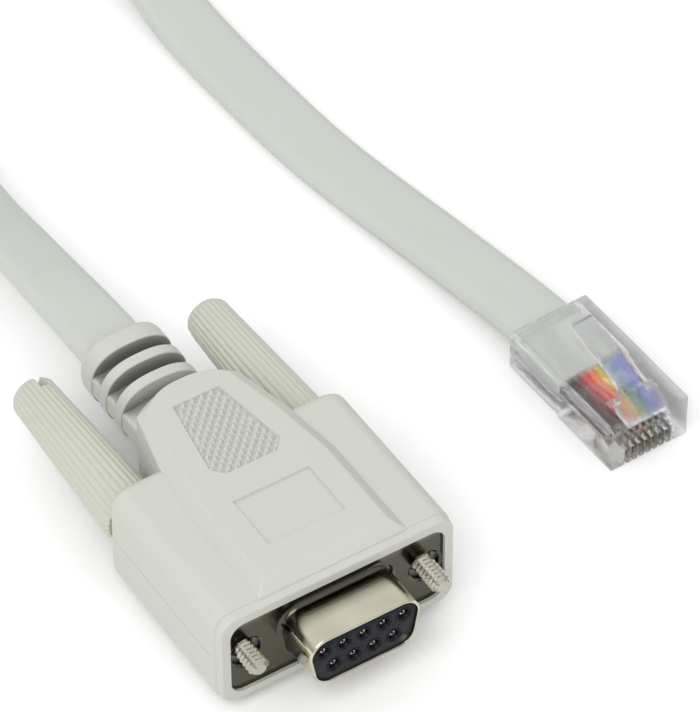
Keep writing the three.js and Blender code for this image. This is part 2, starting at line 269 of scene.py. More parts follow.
def repeated(group, spots, shape, material):
    points = add(group, "GeometryNodeMeshToPoints", {"Mesh": spots})
    spread = add(group, "GeometryNodeInstanceOnPoints", {"Points": points.outputs[0], "Instance": shape})
    closeTree(group, spread.outputs[0], material)


def grown(name, group, values, start=None):
    piece = start or meshPiece(name, [(0, 0, 0)], [])
    step = piece.modifiers.new("grow", "NODES")
    step.node_group = group
    named = {s.name: s.identifier for s in group.interface.items_tree
             if s.item_type == "SOCKET" and s.in_out == "INPUT"}
    for label, value in values.items():
        step[named[label]] = value
    baked(piece)
    piece.name = piece.data.name = name
    return outward(piece)


# Materials, all on Object coordinates

def opaque(color, share=1.0):
    return (*[min(c * share, 1) for c in color], 1)


def noise(group, place, scale, detail):
    return add(group, "ShaderNodeTexNoise", {"Vector": place, "Scale": scale, "Detail": detail}).outputs


def mixed(group, factor, a, b, blend="MIX"):
    return add(group, "ShaderNodeMix", {"Factor": factor, "A": a, "B": b}, data_type="RGBA",
               blend_type=blend).outputs["Result"]


def newMaterial(name):
    material = bpy.data.materials.new(name)
    material.use_nodes = True
    group = material.node_tree
    return material, group, group.nodes["Principled BSDF"], add(group, "ShaderNodeTexCoord").outputs["Object"]


def surfaced(group, shader, colour, sheen, smooth, rough, relief, strength, distance):
    gloss = ranged(group, sheen, toMin=max(smooth, 0.0), toMax=rough)
    bump = add(group, "ShaderNodeBump", {"Strength": strength, "Distance": distance, "Height": relief})
    for label, socket in (("Base Color", colour), ("Roughness", gloss), ("Normal", bump.outputs[0])):
        group.links.new(socket, shader.inputs[label])


# The last entry sets how dark the painted shade in the boot's grooves is.
plasticFinish = {"cloudScale": 90, "fleckShare": 0.35, "glossSpread": 0.06, "bump": 0.0001, "creaseShade": 0.22}
metalFinish = {"cloudScale": 160, "scratches": (900, 90, 900), "strength": 0.08, "bump": 0.00005,
               "reflectionTopShare": 0.5}
clearFinish = {"hazeScale": 380, "haze": 1.04, "strength": 0.05, "bump": 0.00005, "index": 1.45,
               "alpha": 0.72}


def plastic(name, color, roughness, specular=0.5, fleck=0.03, grain=0.02, grainScale=5200, cloud=0.04,
            creases=None):
    f = plasticFinish
    material, group, shader, place = newMaterial(name)
    clouds = noise(group, place, f["cloudScale"], 4)["Fac"]
    tone = mixed(group, clouds, opaque(color, 1 - cloud), opaque(color, 1 + cloud))
    flecks = noise(group, place, grainScale * f["fleckShare"], 2)["Color"]
    colour = mixed(group, fleck, tone, flecks, "MULTIPLY")
    if creases:  # painted shade: the boot's grooves are darkened where ambient occlusion finds them hollow
        hollow = add(group, "ShaderNodeAmbientOcclusion", {"Distance": creases["reach"]}, samples=8,
                     only_local=True)
        unshaded = math2(group, "POWER", hollow.outputs["AO"], creases["power"])
        before = ranged(group, parted(group, place)["Y"], creases["from"], creases["to"], 1.0, 0.0)
        colour = mixed(group, math2(group, "MAXIMUM", unshaded, before), opaque(color, f["creaseShade"]), colour)
    fine = noise(group, place, grainScale, 3)["Fac"]
    surfaced(group, shader, colour, clouds, roughness - f["glossSpread"], roughness + f["glossSpread"],
             fine, grain * 5, f["bump"])
    shader.inputs["Specular IOR Level"].default_value = specular
    return material


def metal(name, bright, dark, roughness, paintedReflection=None):
    f = metalFinish
    material, group, shader, place = newMaterial(name)
    shader.inputs["Metallic"].default_value = 1.0
    colour = mixed(group, noise(group, place, f["cloudScale"], 5)["Fac"], opaque(dark), opaque(bright))
    if paintedReflection:  # painted reflection: the flange behind the shroud is darkened for the dark surroundings it reflects, and less so near its top, where its reflection is painted lighter
        spot = parted(group, place)
        back = ranged(group, spot["Y"], *paintedReflection["y"], kind="SMOOTHSTEP")
        low = ranged(group, spot["Z"], *paintedReflection["z"], 1.0, f["reflectionTopShare"], "SMOOTHSTEP")
        colour = mixed(group, math2(group, "MULTIPLY", back, low), colour, opaque(paintedReflection["colour"]))
    stretch = add(group, "ShaderNodeMapping", {"Vector": place, "Scale": f["scratches"]})
    scratches = noise(group, stretch.outputs[0], 1.0, 3)["Fac"]
    surfaced(group, shader, colour, scratches, roughness - 0.05, roughness + 0.08, scratches, f["strength"],
             f["bump"])
    return material


def clearPlastic(name, tint, roughness):
    f = clearFinish
    material, group, shader, place = newMaterial(name)
    shader.inputs["Transmission Weight"].default_value = 1.0
    shader.inputs["IOR"].default_value = f["index"]
    shader.inputs["Alpha"].default_value = f["alpha"]
    haze = noise(group, place, f["hazeScale"], 3)["Fac"]
    colour = mixed(group, haze, opaque(tint), opaque(tint, f["haze"]))
    surfaced(group, shader, colour, haze, roughness - 0.02, roughness + 0.03, haze, f["strength"], f["bump"])
    return material


# The hood's boot has painted shade in its grooves.
hoodPvc = plastic("hoodPvc", (0.515, 0.518, 0.472), 0.46, cloud=0.02, grain=0.03,
                  creases={"power": 2.4, "reach": 0.0024, "from": 0.0138, "to": 0.0148})
knobPlastic = plastic("knobPlastic", (0.50, 0.512, 0.43), 0.42, cloud=0.02, grain=0.02)
cableJacket = plastic("cableJacket", (0.50, 0.522, 0.482), 0.34, cloud=0.03, grain=0.015, grainScale=2600)
tiePlastic = plastic("tiePlastic", (0.78, 0.78, 0.75), 0.4)
blackInsulator = plastic("blackInsulator", (0.006, 0.007, 0.011), 0.32, specular=0.14, cloud=0.2, grain=0.05)
# The flange of the nickel plate carries a painted dark reflection, lighter near its top.
nickelPlate = metal("nickelPlate", (0.70, 0.665, 0.545), (0.42, 0.395, 0.30), 0.13,
                    paintedReflection={"colour": (0.085, 0.082, 0.062), "y": (-0.0258, -0.0226), "z": (0.0128, 0.0158)})
screwSteel = metal("screwSteel", (0.60, 0.58, 0.50), (0.36, 0.34, 0.28), 0.16)
goldFlash = metal("goldFlash", (0.66, 0.62, 0.50), (0.46, 0.42, 0.33), 0.25)
clearBody = clearPlastic("clearBody", (0.97, 0.985, 0.99), 0.03)


# Camera, at the photograph's angle

view = {
    "place": (-0.231508, -0.389554, 0.500410), "turn": (44.073743, 0.202793, -32.630993),
    "lens": 285.7556, "sensor": 36.0,
}
lens = bpy.data.cameras.new("photoView")
lens.lens, lens.sensor_fit, lens.sensor_width = view["lens"], "HORIZONTAL", view["sensor"]
lens.clip_start, lens.clip_end = 0.02, 20
camera = bpy.data.objects.new("photoView", lens)
camera.location = view["place"]
camera.rotation_euler = [math.radians(a) for a in view["turn"]]
bpy.context.collection.objects.link(camera)
bpy.context.scene.camera = camera
print("camera set")


# Cord: flat, from the strain relief over the coil and out to the plug

cordSize = {
    "width": 9.1, "thick": 2.4, "length": 1830, "edgeSteps": 6, "flatSteps": 4,
    "coilX": 0, "coilY": 160, "outerRadius": 53.9, "pitch": 3.45, "turns": 5, "firstAngle": -15,
    "lastAngle": 90, "angleStep": 5, "edgeHeight": 4.7, "tieLift": 0.75, "tieAngle": 90, "tieSpread": 34,
    "tightRadius": 26, "tightStep": 14,
}
# x, y, height and roll in degrees, where 90 stands on edge
hoodSide = [
    (0, 24, 8.7, 0), (0, 28.5, 8.7, 0), (0, 36.2, 8.3, -3), (0, 52, 6.9, -12), (0, 63, 6.2, -18),
    (0, 73, 6.7, -15), (-0.2, 84, 8, -8), (-1.2, 95, 9.9, -1), (-3.6, 107, 10.75, 0), (-8.3, 118.5, 10.8, 0),
    (-13.3, 130, 10.7, 3), (-18, 140.5, 10.3, 12), (-22.5, 151.5, 9.3, 30), (-26.2, 162.9, 7.8, 52),
    (-27.4, 171.5, 6.5, 68),
]
innerRise = [(5.3, 90), (5.05, 89), (4.95, 88), (5.0, 86), (5.3, 81)]  # height and roll
plugSide = [
    (50.2, 134.2, 4.72, 90), (47.2, 122, 4.75, 84), (44.3, 108, 4.5, 55), (42.9, 94, 2.9, 20),
    (42.4, 81, 1.55, 2), (42.9, 66, 1.3, 0), (44.1, 50, 1.35, 0), (47.4, 28, 2.1, 0), (49.3, 12, 3.3, 0),
    (49.6, 7.3, 3.6, 0), (49.75, 2.4, 3.6, 0), (49.92, -2.6, 3.6, 0),
]


def cordRoute(s):
    first, last = s["firstAngle"], s["lastAngle"] + 360 * s["turns"]
    spiral = []
    for deg in range(first, last + 1, s["angleStep"]):
        r = s["outerRadius"] - s["pitch"] * (deg - first) / 360
        a = math.radians(deg)
        away = (deg - s["tieAngle"] + 180) % 360 - 180
        z = s["edgeHeight"] + s["tieLift"] * math.exp(-(away / s["tieSpread"]) ** 2)
        spiral.append((s["coilX"] + r * math.cos(a), s["coilY"] + r * math.sin(a), z, 90))
    # The inner end turns tighter inside the ring before it rises over it.
    end = Vector(spiral[-1][:2])
    heading = math.radians(last % 360 + 90)
    r = s["tightRadius"]
    centre = end + r * Vector((-math.sin(heading), math.cos(heading)))
    inner = []
    for k, (z, roll) in enumerate(innerRise):
        a = heading + math.radians(s["tightStep"] * (k + 1)) - math.pi / 2
        inner.append((centre.x + r * math.cos(a), centre.y + r * math.sin(a), z, roll))
    return (smoothRoute(hoodSide + inner[::-1] + spiral[::-1][:1], 8)[:-1]
            + smoothRoute(spiral[::-1], 2)[:-1] + smoothRoute(spiral[:1] + plugSide, 8))


def ribbonSection(width, thick, edgeSteps, flatSteps):
    r = thick / 2
    flat = width / 2 - r
    section = []
    for side in (1, -1):
        for i in range(edgeSteps + 1):
            a = math.radians(-90 + 180 * i / edgeSteps)
            section.append((side * (flat + r * math.cos(a)), side * r * math.sin(a)))
        for i in range(1, flatSteps):
            section.append((side * flat * (1 - 2 * i / flatSteps), side * r))
    return section


route = cordRoute(cordSize)
cable, cableLength = sweep(
    "flatCable", route,
    ribbonSection(cordSize["width"], cordSize["thick"], cordSize["edgeSteps"], cordSize["flatSteps"]),
    [p.w for p in route])
shaded(cable, 60)
placed(cable, metre, cableJacket, "cable",
       ("cable_hood_side", "cable_coil", "cable_plug_side"))
print("cord:", round(cableLength, 1), "mm")


# Moulded hood: box, raised middle, neck and ribbed boot

hoodSize = {
    "halfWidth": 16.4, "halfHeight": 7.3, "corner": 2.3, "front": -0.5, "back": 25.2, "edge": 1.6,
    "lip": 1.45, "ledge": 0.14, "ledgeAt": 0.75, "rise": 1.4, "plateauHalf": 10.35, "plateauFront": 0.6,
    "bevel": 1.65, "rearBevel": 0.6, "taperFrom": 9.0, "neckFront": 9.1, "neckBack": 7.2, "neckEnd": 35.4,
    "neckBow": 2.05, "neckPower": 2.6, "neckSteps": 10, "neckBevel": 0.4, "bootHalfWidth": 5.8,
    "bootHalfHeight": 4.75, "bootPower": 2.5, "bootEnd": 50.0, "collar": 3.3, "rib": 1.7, "groove": 1.9,
    "grooveDepth": 2.5, "coreInset": 0.25, "web": 1.6, "webInset": 0.12, "softEdge": 0.16, "partLine": 0.05,
}


def ended(half, z):
    return [(x, y, z) for x, y in half] + [(-x, y, z) for x, y in reversed(half)]


def bootRing(s, y, less=0.0, lower=0.0, steps=72):
    ring = []
    for i in range(steps):
        c, n = math.cos(2 * math.pi * i / steps), math.sin(2 * math.pi * i / steps)
        k = (abs(c) ** s["bootPower"] + abs(n) ** s["bootPower"]) ** (-1 / s["bootPower"])
        ring.append(((s["bootHalfWidth"] - less) * c * k, y, (s["bootHalfHeight"] - less - lower) * n * k))
    return ring


def hoodSkin(s):
    e, w, h = s["edge"], s["halfWidth"], s["halfHeight"]
    rings = [(s["front"], 0.45), (s["front"] + 0.12, 0.24), (s["front"] + 0.4, s["ledge"]),
             (s["ledgeAt"], s["ledge"]), (s["ledgeAt"] + 0.1, 0.0)]
    rings += [(s["back"] - e + e * math.sin(math.radians(t)), e * (1 - math.cos(math.radians(t))))
              for t in range(0, 91, 15)]
    whole = skin("hood", [roundedRing(y, w - less, h - less, s["corner"]) for y, less in rings])
    b = s["bevel"]
    turn, turnRaised = [], []
    for k in range(s["neckSteps"]):  # the neck's end bows out towards the boot
        u = 1 - k / s["neckSteps"]
        y = s["neckEnd"] - s["neckBow"] * u ** s["neckPower"]
        turn.append((s["neckBack"] * u, y))
        turnRaised.append(((s["neckBack"] - b) * u, y - s["neckBevel"]))
    half, front, taper = s["plateauHalf"], s["plateauFront"], s["back"] - s["taperFrom"]
    outline = [(half, front), (half, taper), (s["neckFront"], s["back"])] + turn
    raised = [(half - b, front + b), (half - b, taper - s["rearBevel"]),
              (s["neckFront"] - b, s["back"] - s["rearBevel"])] + turnRaised
    parts = []
    for side in (1, -1):
        plateau = skin("plateau", [ended(outline, side * (h - 1)), ended(outline, side * h),
                                   ended(raised, side * (h + s["rise"]))])
        parts.append(edged(plateau, s["softEdge"], 2, 20))
    parts.append(skin("stem", [ended([(x - 0.02, y - 0.02) for x, y in outline[1:]], z) for z in (-h, h)]))
    inside = (s["neckEnd"] - 3, s["bootEnd"] - 1)
    parts.append(skin("core", [bootRing(s, y, s["coreInset"], s["grooveDepth"]) for y in inside]))
    parts.append(skin("web", [roundedRing(y, s["bootHalfWidth"] - s["webInset"], s["web"], 0.5, 4)
                              for y in inside]))
    for k in (0, 1):
        y = s["bootEnd"] - s["collar"] - s["groove"] - k * (s["rib"] + s["groove"])
        start = y - s["rib"]
        parts.append(skin("rib", [bootRing(s, start + 0.1, 0.1), bootRing(s, start + 0.2),
                                  bootRing(s, y - 0.1), bootRing(s, y, 0.1)]))
    y = s["bootEnd"]
    start = y - s["collar"]
    parts.append(skin("collar", [bootRing(s, start, 0.1), bootRing(s, start + 0.1), bootRing(s, y - 1.0),
                                 bootRing(s, y - 0.5, 0.12), bootRing(s, y - 0.15, 0.4),
                                 bootRing(s, y, 0.8)]))
    for part in parts:
        combine(whole, part, "UNION")
    return whole


gripSize = {
    "halfBack": 3.25, "halfWide": 4.95, "halfFront": 3.55, "front": 18.6, "back": 31.4, "taper": 1.6,
    "depth": 0.45, "pitchX": 1.34, "pitchY": 1.36, "radius": 0.66, "topRadius": 0.2, "height": 0.45,
    "margin": 0.25, "slope": 0.16,
}
plainPanel = {"half": 5.35, "front": 6.3, "back": 14.4, "depth": 0.3, "slope": 0.14}
screwSize = {
    "x": 12.495, "root": 1.04, "outer": 1.33, "pitch": 0.635, "turns": 6.5, "runIn": 0.36, "threadEnd": 4.4,
    "end": 40.1, "hole": 2.1, "holeMouth": 2.45, "bore": 1.72, "tips": {"left": -3.2, "right": -3.9},
}
knobSize = {
    "near": 25.6, "far": 49.8, "nearRadius": 4.0, "farRadius": 2.95, "ribs": 26, "depth": 0.17, "power": 0.75,
    "nearRound": 0.45, "farRound": 0.35, "around": 312, "along": 40, "slot": 1.1, "slotDepth": 2.0,
    "room": 0.35, "turn": {"left": 1.866, "right": -0.3},
}


def panelCut(p, half, top):
    middle = (p["front"] + p["back"]) / 2
    rings = []
    for rise, less in ((-p["depth"], p["slope"]), (0, 0), (p["depth"], -p["slope"])):  # sloping walls
        rings.append(ended([(x - less, y + (less if y < middle else -less)) for x, y in half], top + rise))
    return skin("panel", rings)


def hoodCuts(s):
    top = s["halfHeight"] + s["rise"]
    behind = s["back"] + 1
    tool = skin("mouth", [roundedRing(y, s["halfWidth"] - s["lip"], s["halfHeight"] - s["lip"], 2.0)
                          for y in (s["front"] - 1, 0.2)])
    combine(tool, skin("seat", [roundedRing(y, 15.65, 6.5, 2.2) for y in (-0.04, 1.4)]), "UNION")
    g, p = gripSize, plainPanel
    cuts = [panelCut(g, [(g["halfFront"], g["front"]), (g["halfWide"], g["front"] + g["taper"]),
                         (g["halfBack"], g["back"])], top),
            panelCut(p, [(p["half"], p["front"]), (p["half"], p["back"])], top)]
    for side in (-1, 1):
        x = side * screwSize["x"]
        combine(tool, turned("bore", [(screwSize["bore"], 1.0), (screwSize["bore"], behind)], 32, x), "UNION")
        cuts.append(turned("knobRoom", [(knobSize["nearRadius"] + knobSize["room"], s["back"] + 0.02),
                                        (knobSize["farRadius"] + knobSize["room"], knobSize["far"])], 48, x))
    line = skin("line", [roundedRing(y, s["halfWidth"] + 1, 0.06, 0.02, 1)
                         for y in (s["ledgeAt"] + 1, behind)])
    keep = skin("keep", [roundedRing(y, s["halfWidth"] - s["partLine"], 2, 0.5, 2)
                         for y in (s["front"] - 1, behind + 1)])
    return [tool, joined("panels", cuts), combine(line, keep)]


hood = hoodSkin(hoodSize)
print("hood skin:", len(hood.data.polygons), "faces")
for tool in hoodCuts(hoodSize):
    combine(hood, tool)
print("hood cut:", len(hood.data.polygons), "faces")


# Staggered pyramids of the grip panel, grown over a grid and kept inside its outline.
def knurlTree():
    group, given = tree("gripKnurl", [(label, "Float") for label in (
        "Pitch X", "Pitch Y", "Front", "Back", "Taper", "Half Front", "Half Wide", "Half Back", "Margin",
        "Radius", "Top Radius", "Height", "Floor")])
    length = math2(group, "SUBTRACT", given["Back"], given["Front"])
    width = math2(group, "MULTIPLY", given["Half Wide"], 2.0)
    rows = math2(group, "CEIL", math2(group, "DIVIDE", length, given["Pitch Y"]))
    columns = math2(group, "CEIL", math2(group, "DIVIDE", width, given["Pitch X"]))
    middle = math2(group, "ADD", given["Front"], math2(group, "MULTIPLY", length, 0.5))
    both = group.nodes.new("GeometryNodeJoinGeometry")
    for shift in (0.0, 0.5):
        grid = add(group, "GeometryNodeMeshGrid", {
            "Size X": math2(group, "MULTIPLY", columns, given["Pitch X"]),
            "Size Y": math2(group, "MULTIPLY", rows, given["Pitch Y"]),
            "Vertices X": math2(group, "ADD", columns, 1.0), "Vertices Y": math2(group, "ADD", rows, 1.0)})
        offset = vector3(group, math2(group, "MULTIPLY", given["Pitch X"], shift),
                         math2(group, "ADD", middle, math2(group, "MULTIPLY", given["Pitch Y"], shift)),
                         given["Floor"])
        moved = add(group, "GeometryNodeTransform", {"Geometry": grid.outputs["Mesh"], "Translation": offset})
        group.links.new(moved.outputs[0], both.inputs[0])
    spot = parted(group, add(group, "GeometryNodeInputPosition").outputs[0])
    wideAt = math2(group, "ADD", given["Front"], given["Taper"])
    near = ranged(group, spot["Y"], given["Front"], wideAt, given["Half Front"], given["Half Wide"])
    far = ranged(group, spot["Y"], wideAt, given["Back"], given["Half Wide"], given["Half Back"])
    half = math2(group, "SUBTRACT", math2(group, "MINIMUM", near, far), given["Margin"])
    wide = math2(group, "GREATER_THAN", math2(group, "ABSOLUTE", spot["X"]), half)
    early = math2(group, "LESS_THAN", spot["Y"], math2(group, "ADD", given["Front"], given["Margin"]))
    late = math2(group, "GREATER_THAN", spot["Y"], math2(group, "SUBTRACT", given["Back"], given["Margin"]))
    outside = math2(group, "ADD", math2(group, "ADD", wide, early), late)
    kept = add(group, "GeometryNodeDeleteGeometry", {"Geometry": both.outputs[0], "Selection": outside})
    pyramid = add(group, "GeometryNodeMeshCone", {"Vertices": 4, "Radius Top": given["Top Radius"],
                                                  "Radius Bottom": given["Radius"], "Depth": given["Height"]})
    repeated(group, kept.outputs[0], pyramid.outputs["Mesh"], hoodPvc)
    return group


knurl = grown("gripKnurl", knurlTree(), {
    "Pitch X": gripSize["pitchX"], "Pitch Y": gripSize["pitchY"], "Front": gripSize["front"],
    "Back": gripSize["back"], "Taper": gripSize["taper"], "Half Front": gripSize["halfFront"],
    "Half Wide": gripSize["halfWide"], "Half Back": gripSize["halfBack"], "Margin": gripSize["margin"],
    "Radius": gripSize["radius"], "Top Radius": gripSize["topRadius"], "Height": gripSize["height"],
    "Floor": hoodSize["halfHeight"] + hoodSize["rise"] - gripSize["depth"] - 0.02,
})
print("knurl:", len(knurl.data.polygons), "faces")
hood = shaded(joined("mouldedHood", [hood, knurl]), 28)
weigh = hood.modifiers.new("weigh", "WEIGHTED_NORMAL")
weigh.keep_sharp = True
baked(hood)
placed(hood, connectorPlace, hoodPvc, "cable", ("hood",))
print("hood made")


# Plated front shell, insulator and contacts

shellSize = {
    "halfWidth": 15.405, "halfHeight": 6.275, "thick": 0.8, "corner": 2.0, "dWidth": 16.33, "dHeight": 7.9,
    "dCorner": 2.6, "lean": 10, "front": -6.4, "wall": 0.45, "fillet": 0.8, "rollEdge": 0.3,
}
socketSize = {
    "pitch": 2.77, "rowGap": 2.84, "mouth": 0.78, "bore": 0.56, "sink": 0.3, "depth": 3.2, "setback": 0.3,
    "contactOuter": 0.4, "contactInner": 0.13, "contactStart": 0.42, "rimOuter": 1.08,
    "rimInner": 0.9, "rimRise": 0.09, "mouthFlare": 0.14,
}


def dRing(y, less, radiusLess=None, steps=12):
    s = shellSize
    lean = math.radians(s["lean"])
    width, height = s["dWidth"] - 2 * less, s["dHeight"] - 2 * less
    h = height / 2
    low = width / 2 - height * math.tan(lean)
    r = max(s["dCorner"] - (less if radiusLess is None else radiusLess), 0.2)
    inTop = width / 2 - r * (math.tan(lean) + 1 / math.cos(lean))
    inLow = low + r * (math.tan(lean) - 1 / math.cos(lean))
    ring = []
    for cx, cz, start, end in ((inTop, h - r, -lean, math.pi / 2),
                               (-inTop, h - r, math.pi / 2, math.pi + lean),
                               (-inLow, r - h, math.pi + lean, math.pi * 1.5),
                               (inLow, r - h, math.pi * 1.5, math.pi * 2 - lean)):
        for i in range(steps + 1):
            a = start + (end - start) * i / steps
            ring.append((cx + r * math.cos(a), y, cz + r * math.sin(a)))
    return ring


def frontShell(s):
    plate = skin("plate", [roundedRing(y, s["halfWidth"] - less, s["halfHeight"] - less, s["corner"])
                           for y, less in ((0.0, 0.12), (0.12, 0.0), (s["thick"] - 0.1, 0.0),
                                           (s["thick"], 0.1))])
    combine(plate, skin("opening", [dRing(y, s["wall"] + 0.02) for y in (-1, 2)]))
    for side in (-1, 1):
        combine(plate, turned("hole", [(screwSize["holeMouth"], -1), (screwSize["holeMouth"], -0.001),
                                       (screwSize["hole"], 0.22),
                                       (screwSize["hole"], 2)], 48, side * screwSize["x"]))
    f, w, front = s["fillet"], s["wall"], s["front"]
    rings = [dRing(0.35, -f - 0.05)]
    for t in range(0, 91, 15):
        a = math.radians(t)
        rings.append(dRing(-f * (1 - math.cos(a)), -f * (1 - math.sin(a))))
    edge = s["rollEdge"]
    for t in range(0, 91, 18):
        a = math.radians(t)
        rings.append(dRing(front + edge * (1 - math.sin(a)), edge * (1 - math.cos(a))))
    rings += [dRing(front + 0.06, w - 0.04), dRing(front + 0.16, w), dRing(0.35, w)]
    shroud = skin("shroud", rings, closed=True)
    return shaded(joined("frontShell", [plate, shroud]), 32)


shell = frontShell(shellSize)
placed(shell, connectorPlace, nickelPlate, "cable", ("front_shell",))

seats = [((i - (count - 1) / 2) * socketSize["pitch"], (0.5 - row) * socketSize["rowGap"])
         for row, count in enumerate((5, 4)) for i in range(count)]


def insulatorBlock(s):
    front = shellSize["front"] + s["setback"]
    gapIn = shellSize["wall"] + 0.03
    piece = skin("insulatorBlock", [dRing(front, gapIn + 0.15), dRing(front + 0.12, gapIn),
                                    dRing(4.0, gapIn)])
    cutters = [turned("socketHole", [(s["mouth"] + s["mouthFlare"], front - s["mouthFlare"]),
                                     (s["bore"], front + s["sink"]), (s["bore"], front + s["depth"])],
                      28, x, z) for x, z in seats]
    combine(piece, joined("socketHoles", cutters))
    o, i, lift = s["rimOuter"], s["rimInner"], front - s["rimRise"]
    rims = [turned("socketRim", [(o, front + 0.05), (o - 0.05, lift), (i + 0.08, lift), (i, front + 0.05),
                                 (i + 0.1, front + 0.1), (o - 0.05, front + 0.1)], 28, x, z, True)
            for x, z in seats]
    return shaded(joined("insulatorBlock", [piece] + rims), 50)


placed(insulatorBlock(socketSize), connectorPlace, blackInsulator, "cable", ("insulator",))


# One contact tube repeated on the two rows of seats.
def contactTree():
    group, given = tree("socketContacts", [("Pitch", "Float"), ("Row Gap", "Float")])
    rows = group.nodes.new("GeometryNodeJoinGeometry")
    for count, level in ((5, 0.5), (4, -0.5)):
        start = vector3(group, math2(group, "MULTIPLY", given["Pitch"], -(count - 1) / 2), 0.0,
                        math2(group, "MULTIPLY", given["Row Gap"], level))
        line = add(group, "GeometryNodeMeshLine", {"Count": count, "Start Location": start,
                                                   "Offset": vector3(group, given["Pitch"])})
        group.links.new(line.outputs[0], rows.inputs[0])
    repeated(group, rows.outputs[0], given["Geometry"], goldFlash)
    return group


def contactTube(s):
    y = shellSize["front"] + s["setback"] + s["contactStart"]
    o, i = s["contactOuter"], s["contactInner"]
    return turned("contactTube", [(o - 0.06, y), (o, y + 0.08), (o, y + 3), (0.01, y + 3), (0.01, y + 0.5),
                                  (i * 0.7, y + 0.62), (i, y + 0.9), (i, y + 0.08), (i + 0.05, y)], 24)


contacts = grown("socketContacts", contactTree(), {
    "Pitch": socketSize["pitch"], "Row Gap": socketSize["rowGap"]}, contactTube(socketSize))
placed(shaded(contacts), connectorPlace, goldFlash, "cable",
       [f"socket_contact_{i}" for i in range(1, 10)])
print("front made")


# Thumbscrews

def threadTree():
    group, given = tree("screwThread", [(label, "Float") for label in ("Turns", "Pitch", "Radius", "Ridge")])
    spiral = add(group, "GeometryNodeCurveSpiral", {
        "Resolution": 40, "Rotations": given["Turns"], "Start Radius": given["Radius"],
        "End Radius": given["Radius"], "Height": math2(group, "MULTIPLY", given["Turns"], given["Pitch"])})
    level = add(group, "GeometryNodeSetCurveNormal", {"Curve": spiral.outputs[0]}, mode="Z_UP")
    ridge = add(group, "GeometryNodeCurvePrimitiveCircle", {"Resolution": 4, "Radius": given["Ridge"]})
    swept = add(group, "GeometryNodeCurveToMesh", {
        "Curve": level.outputs[0], "Profile Curve": ridge.outputs[0], "Fill Caps": True})
    laid = add(group, "GeometryNodeTransform", {"Geometry": swept.outputs[0],
                                                "Rotation": (math.radians(-90), 0, 0)})
    closeTree(group, laid.outputs[0], screwSteel)
    return group


# A cylinder whose points are drawn in and out round it for the ribs, and in at both ends.
def knobTree():
    group, given = tree("thumbscrewKnob", [(label, "Float") for label in (
        "Near", "Far", "Near Radius", "Far Radius", "Ribs", "Depth", "Power", "Near Round", "Far Round")]
        + [("Around", "Int"), ("Along", "Int")])
    length = math2(group, "SUBTRACT", given["Far"], given["Near"])
    blank = add(group, "GeometryNodeMeshCylinder", {
        "Vertices": given["Around"], "Side Segments": given["Along"], "Fill Segments": 1, "Radius": 1.0,
        "Depth": 1.0}, fill_type="NGON")
    spot = parted(group, add(group, "GeometryNodeInputPosition").outputs[0])
    along = math2(group, "ADD", spot["Z"], 0.5)
    fromNear = math2(group, "MULTIPLY", along, length)
    toFar = math2(group, "SUBTRACT", length, fromNear)
    radius = ranged(group, along, toMin=given["Near Radius"], toMax=given["Far Radius"])
    angle = math2(group, "ARCTAN2", spot["Y"], spot["X"])
    turns = math2(group, "MULTIPLY", angle, math2(group, "MULTIPLY", given["Ribs"], 0.5))
    wave = math2(group, "ABSOLUTE", math2(group, "SINE", turns))
    dip = math2(group, "SUBTRACT", 1.0, math2(group, "POWER", wave, given["Power"]))
    fade = ranged(group, toFar, 0.1, 0.7, kind="SMOOTHSTEP")
    reach = math2(group, "SUBTRACT", radius, math2(
        group, "MULTIPLY", math2(group, "MULTIPLY", dip, fade), given["Depth"]))
    for distance, span, rounding in ((fromNear, 0.7, "Near Round"), (toFar, 0.5, "Far Round")):
        reach = math2(group, "SUBTRACT", reach, ranged(
            group, distance, 0.0, span, given[rounding], 0.0, "SMOOTHSTEP"))
    shape = vector3(group, math2(group, "MULTIPLY", spot["X"], reach),
                    math2(group, "ADD", given["Near"], fromNear),
                    math2(group, "MULTIPLY", math2(group, "MULTIPLY", spot["Y"], -1.0), reach))
    formed = add(group, "GeometryNodeSetPosition", {"Geometry": blank.outputs["Mesh"], "Position": shape})
    closeTree(group, formed.outputs[0], knobPlastic)
    return group


